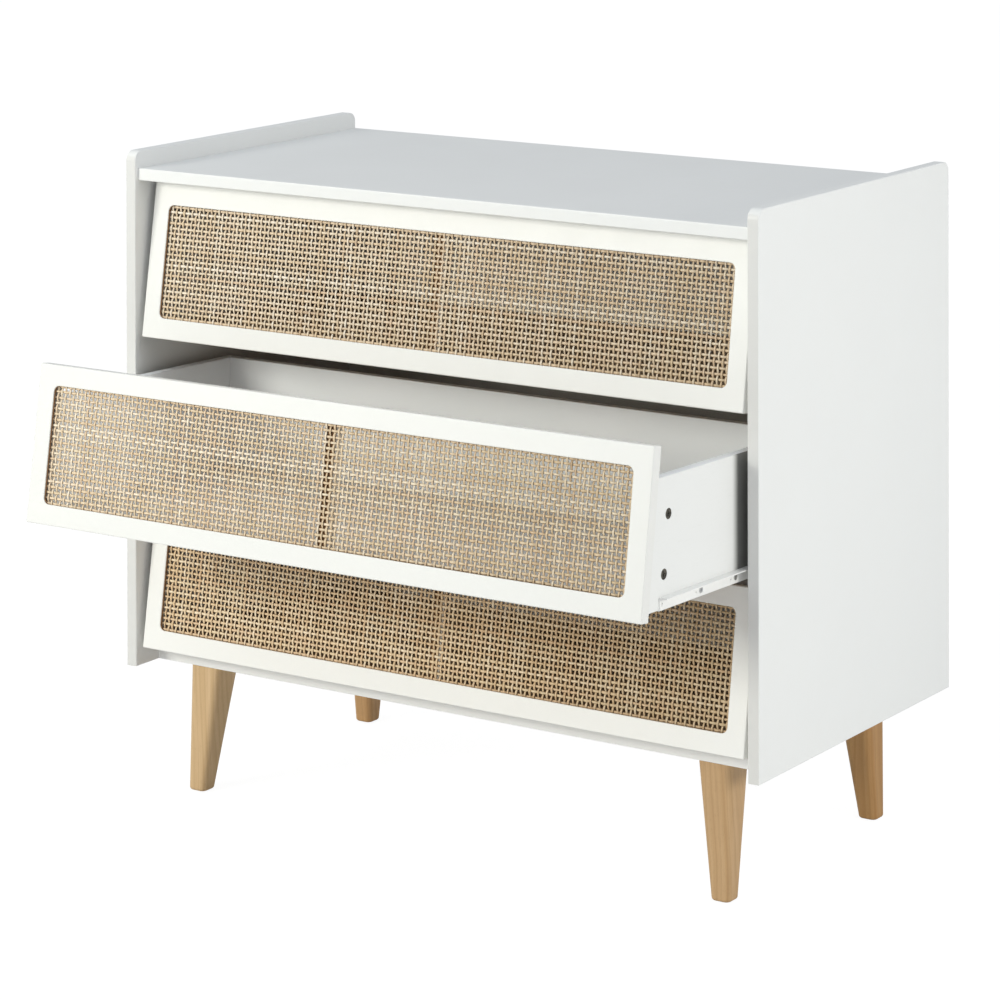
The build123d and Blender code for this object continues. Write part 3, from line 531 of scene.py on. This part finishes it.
def weave(level, seed):
    rng = np.random.default_rng(seed)
    origin, up, out = face_frame(level)
    half_x, half_u, corner = OPEN_W / 2 + 0.0052, OPEN_H / 2 + 0.0052, 0.0128
    columns = int(2 * half_x / PITCH_X) + 1
    rows = int(2 * half_u / PITCH_U) + 1
    xs = (np.arange(columns) - (columns - 1) / 2) * PITCH_X
    us = (np.arange(rows) - (rows - 1) / 2) * PITCH_U
    xs = xs[np.abs(xs) < half_x - 0.0014]
    us = us[np.abs(us) < half_u - 0.0014]
    columns, rows = len(xs), len(us)
    off_x = smooth_steps(rng, columns, 0.00034)
    off_u = smooth_steps(rng, rows, 0.00036)
    drift = [rng.uniform(-26, 26, 5), rng.uniform(-60, 60, 5), rng.uniform(0, 6.28, 5)]
    drift2 = [rng.uniform(-14, 14, 5), rng.uniform(-40, 40, 5), rng.uniform(0, 6.28, 5)]

    def warp(x, u):
        dx = np.interp(x, xs, off_x) + sum(np.sin(x * a + u * b + c) for a, b, c in zip(*drift)) * 0.00016
        du = np.interp(u, us, off_u) + sum(np.sin(x * a + u * b + c) for a, b, c in zip(*drift2)) * 0.00022
        return x + dx, u + du

    verts, faces, tones, tints, places = [], [], [], [], []
    angles = np.linspace(0, 2 * math.pi, RING, endpoint=False) + math.pi / RING
    ca = np.sign(np.cos(angles)) * np.abs(np.cos(angles)) ** 0.85
    sa = np.sign(np.sin(angles)) * np.abs(np.sin(angles)) ** 0.90
    count = 0
    quads = np.array([[r, (r + 1) % RING, RING + (r + 1) % RING, RING + r] for r in range(RING)])
    for kind, fixed_all, moving, pitch, half_w in (
        ("v", xs, us, PITCH_U, 0.00136),
        ("h", us, xs, PITCH_X, 0.00148),
    ):
        limit_main = half_u if kind == "v" else half_x
        limit_side = half_x if kind == "v" else half_u
        for i, fixed in enumerate(fixed_all):
            over = abs(fixed) - (limit_side - corner)
            end = limit_main if over <= 0 else limit_main - corner + math.sqrt(max(corner**2 - over**2, 0.0))
            start_phase = moving[0]
            n = int(round(2 * end / pitch * STEPS))
            t = np.linspace(-end, end, n + 1)
            phase = (t - start_phase) / pitch
            wave = np.cos(math.pi * phase)
            wave = np.tanh(1.5 * wave) / math.tanh(1.5)
            sign = 1.0 if i % 2 == 0 else -1.0
            if kind == "h":
                sign = -sign
            depth = sign * wave * WAVE
            wobble = np.zeros(len(t))
            for _ in range(4):
                wobble += np.sin(t * rng.uniform(200, 900) + rng.uniform(0, 6.28)) * 0.00005
            width = half_w * rng.uniform(0.88, 1.12) * (1 + 0.07 * np.sin(t * rng.uniform(60, 240) + rng.uniform(0, 6.28)))
            # a strand spreads a little where it lies on top
            width = width * (1 + 0.05 * sign * wave)
            thick = 0.00064 * rng.uniform(0.92, 1.04)
            if kind == "v":
                cx, cu = warp(np.full(len(t), fixed), t)
                cx = cx + wobble
            else:
                cx, cu = warp(t, np.full(len(t), fixed))
                cu = cu + wobble
            path = np.stack([cx, cu, depth], 1)
            tangent = np.gradient(path, axis=0)
            tangent /= np.linalg.norm(tangent, axis=1)[:, None]
            side = np.array([1.0, 0, 0]) if kind == "v" else np.array([0, 1.0, 0])
            normal = np.cross(tangent, side) if kind == "h" else np.cross(side, tangent)
            normal /= np.linalg.norm(normal, axis=1)[:, None]
            lateral = np.cross(normal, tangent) if kind == "v" else np.cross(tangent, normal)
            twist = rng.uniform(-0.10, 0.10) + 0.06 * np.sin(t * rng.uniform(80, 300) + rng.uniform(0, 6.28))
            lat = lateral * np.cos(twist)[:, None] + normal * np.sin(twist)[:, None]
            nor = normal * np.cos(twist)[:, None] - lateral * np.sin(twist)[:, None]
            ring = (
                path[:, None, :]
                + lat[:, None, :] * (ca[None, :, None] * width[:, None, None])
                + nor[:, None, :] * (sa[None, :, None] * thick)
            )
            m = len(t)
            flat = ring.reshape(-1, 3)
            world = origin + flat[:, :1] * np.array([1.0, 0, 0]) + (flat[:, 1:2] + FRONT_H / 2) * up - (CANE_DEPTH - flat[:, 2:3]) * out
            verts.append(world)
            base = count + np.arange(m - 1)[:, None, None] * RING
            faces.append((base + quads[None, :, :]).reshape(-1, 4) if kind == "h" else (base + quads[None, :, ::-1]).reshape(-1, 4))
            tone = rng.uniform(0, 1)
            tint = rng.uniform(0, 1)
            key = rng.uniform(0, 50)
            tones.append(np.full(m * RING, tone))
            tints.append(np.full(m * RING, tint))
            around = np.tile(np.linspace(0, 1, RING, endpoint=False), m)
            around = np.abs(around - 0.5) * 2
            place = np.stack([np.repeat(t, RING), around, np.full(m * RING, key)], 1)
            places.append(place)
            count += m * RING
    verts = np.concatenate(verts)
    faces = np.concatenate(faces)
    mesh = bpy.data.meshes.new(level + "_drawer_woven_cane")
    mesh.vertices.add(len(verts))
    mesh.vertices.foreach_set("co", verts.astype(np.float32).ravel())
    mesh.loops.add(len(faces) * 4)
    mesh.loops.foreach_set("vertex_index", faces.astype(np.int32).ravel())
    mesh.polygons.add(len(faces))
    mesh.polygons.foreach_set("loop_start", (np.arange(len(faces)) * 4).astype(np.int32))
    mesh.polygons.foreach_set("loop_total", np.full(len(faces), 4, np.int32))
    mesh.update(calc_edges=True)
    mesh.validate()
    mesh.polygons.foreach_set("use_smooth", np.ones(len(mesh.polygons), bool))
    for key, values, kind in (("strand_tone", np.concatenate(tones), "FLOAT"), ("strand_tint", np.concatenate(tints), "FLOAT")):
        attribute = mesh.attributes.new(key, kind, "POINT")
        attribute.data.foreach_set("value", values.astype(np.float32))
    attribute = mesh.attributes.new("strand_place", "FLOAT_VECTOR", "POINT")
    attribute.data.foreach_set("vector", np.concatenate(places).astype(np.float32).ravel())
    o = bpy.data.objects.new(level + "_drawer_woven_cane", mesh)
    bpy.context.scene.collection.objects.link(o)
    o.data.materials.append(MATS["cane_" + level])
    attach(o, level + "_drawer")
    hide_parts(level + "_drawer_cane_panel")
    return o


for n, level in enumerate(LEVELS):
    weave(level, 11 + 7 * n)


# ------------------------------------------------------------------ studio
def plane_mesh(name, size, z):
    mesh = bpy.data.meshes.new(name)
    steps = 8
    grid = np.linspace(-size, size, steps + 1)
    verts = [(x, y, z) for y in grid for x in grid]
    faces = [
        (r * (steps + 1) + c, r * (steps + 1) + c + 1, (r + 1) * (steps + 1) + c + 1, (r + 1) * (steps + 1) + c)
        for r in range(steps)
        for c in range(steps)
    ]
    mesh.from_pydata(verts, [], faces)
    mesh.update()
    o = bpy.data.objects.new(name, mesh)
    bpy.context.scene.collection.objects.link(o)
    return o


floor = plane_mesh("studio_floor", 90.0, -0.0006)
k = Mat("studio_floor_white")
p = k.coords()
soft = k.noise(k.scaled(p, (0.8, 0.8, 0.8)), 1.0, 3.0, 0.5)
pale = k.mix(k.ramp(soft, 0.3, 0.7), (0.72, 0.72, 0.72), (0.75, 0.75, 0.75))
k.finish(pale, 0.9, None, **{"Specular IOR Level": 0.1})
# to the camera the floor is a bright white table with only faint shadows
seen = k.t.nodes.new("ShaderNodeLightPath")
table = k.t.nodes.new("ShaderNodeBsdfPrincipled")
table.inputs["Base Color"].default_value = (0.14, 0.14, 0.14, 1.0)
table.inputs["Roughness"].default_value = 0.95
table.inputs["Specular IOR Level"].default_value = 0.0
table.inputs["Emission Color"].default_value = (1.0, 1.0, 1.0, 1.0)
table.inputs["Emission Strength"].default_value = 0.93
choose = k.t.nodes.new("ShaderNodeMixShader")
k.t.links.new(seen.outputs["Is Camera Ray"], choose.inputs[0])
k.t.links.new(k.b.outputs[0], choose.inputs[1])
k.t.links.new(table.outputs[0], choose.inputs[2])
k.t.links.new(choose.outputs[0], k.out.inputs[0])
floor.data.materials.append(k.m)

world = bpy.data.worlds.new("studio_world")
bpy.context.scene.world = world
world.use_nodes = True
tree = world.node_tree
tree.nodes.clear()
out_node = tree.nodes.new("ShaderNodeOutputWorld")
background = tree.nodes.new("ShaderNodeBackground")
# the empty distance looks as white as the table
distance = tree.nodes.new("ShaderNodeBackground")
distance.inputs["Color"].default_value = (1.0, 1.0, 1.0, 1.0)
distance.inputs["Strength"].default_value = 1.0
looked_at = tree.nodes.new("ShaderNodeLightPath")
blend = tree.nodes.new("ShaderNodeMixShader")
tree.links.new(looked_at.outputs["Is Camera Ray"], blend.inputs[0])
tree.links.new(background.outputs[0], blend.inputs[1])
tree.links.new(distance.outputs[0], blend.inputs[2])
tree.links.new(blend.outputs[0], out_node.inputs[0])
direction = tree.nodes.new("ShaderNodeTexCoord")
parts = tree.nodes.new("ShaderNodeSeparateXYZ")
tree.links.new(direction.outputs["Generated"], parts.inputs[0])
height = tree.nodes.new("ShaderNodeMapRange")
tree.links.new(parts.outputs[2], height.inputs["Value"])
height.inputs["From Min"].default_value = 0.0
height.inputs["From Max"].default_value = 1.0
height.inputs["To Min"].default_value = 0.40
height.inputs["To Max"].default_value = 0.79
tint = tree.nodes.new("ShaderNodeMix")
tint.data_type = "RGBA"
tint.inputs[6].default_value = (1.0, 1.0, 1.0, 1.0)
tint.inputs[7].default_value = (0.93, 0.99, 1.06, 1.0)
tree.links.new(parts.outputs[2], tint.inputs[0])
tree.links.new(tint.outputs[2], background.inputs["Color"])
tree.links.new(height.outputs[0], background.inputs["Strength"])


def area(name, place, aim, size, power, colour):
    light = bpy.data.lights.new(name, "AREA")
    light.shape = "RECTANGLE"
    light.size, light.size_y = size
    light.energy = power
    light.color = colour
    o = bpy.data.objects.new(name, light)
    bpy.context.scene.collection.objects.link(o)
    o.location = place
    o.rotation_mode = "QUATERNION"
    o.rotation_quaternion = (Vector(aim) - Vector(place)).to_track_quat("-Z", "Y")
    return o


area("key_front_left", (-1.96, -3.53, 1.74), (0.0, -0.15, 0.45), (1.5, 1.2), 93.0, (1.0, 0.995, 0.91))
fill = area("fill_right", (2.55, -0.10, 0.95), (0.45, -0.10, 0.50), (0.30, 0.55), 18.8, (1.0, 0.985, 0.925))
fill.visible_glossy = False

# ------------------------------------------------------------------ camera
camera_data = bpy.data.cameras.new("camera")
camera = bpy.data.objects.new("camera", camera_data)
bpy.context.scene.collection.objects.link(camera)
yaw, pitch, roll = 0.5657532, 0.0067514, -0.0015740
right = Vector((math.cos(yaw), math.sin(yaw), 0.0))
ahead = Vector((-math.sin(yaw) * math.cos(pitch), math.cos(yaw) * math.cos(pitch), -math.sin(pitch)))
above = Vector((-math.sin(yaw) * math.sin(pitch), math.cos(yaw) * math.sin(pitch), math.cos(pitch)))
right_r = right * math.cos(roll) + above * math.sin(roll)
above_r = above * math.cos(roll) - right * math.sin(roll)
# a view camera with a shifted lens keeps the uprights parallel: its film stays upright while it
# looks obliquely, so the optical axis leans against the film's two axes
axis = ahead * 3654.362 + right_r * (500 - 632.130) + above_r * (-324.616 - 500)
turn = Matrix((right_r, above_r, -axis.normalized())).transposed().to_4x4()
stand = bpy.data.objects.new("camera_stand", None)
bpy.context.scene.collection.objects.link(stand)
camera.parent = stand
camera.matrix_parent_inverse = Matrix.Translation((2.47613, -3.56874, 1.39722)) @ turn
camera_data.sensor_fit = "HORIZONTAL"
camera_data.sensor_width = 36.0
camera_data.lens = axis.length / 1000 * 36.0
camera_data.clip_start, camera_data.clip_end = 0.05, 300.0
bpy.context.scene.camera = camera
bpy.context.scene.view_settings.view_transform = "Standard"
bpy.context.scene.view_settings.look = "None"
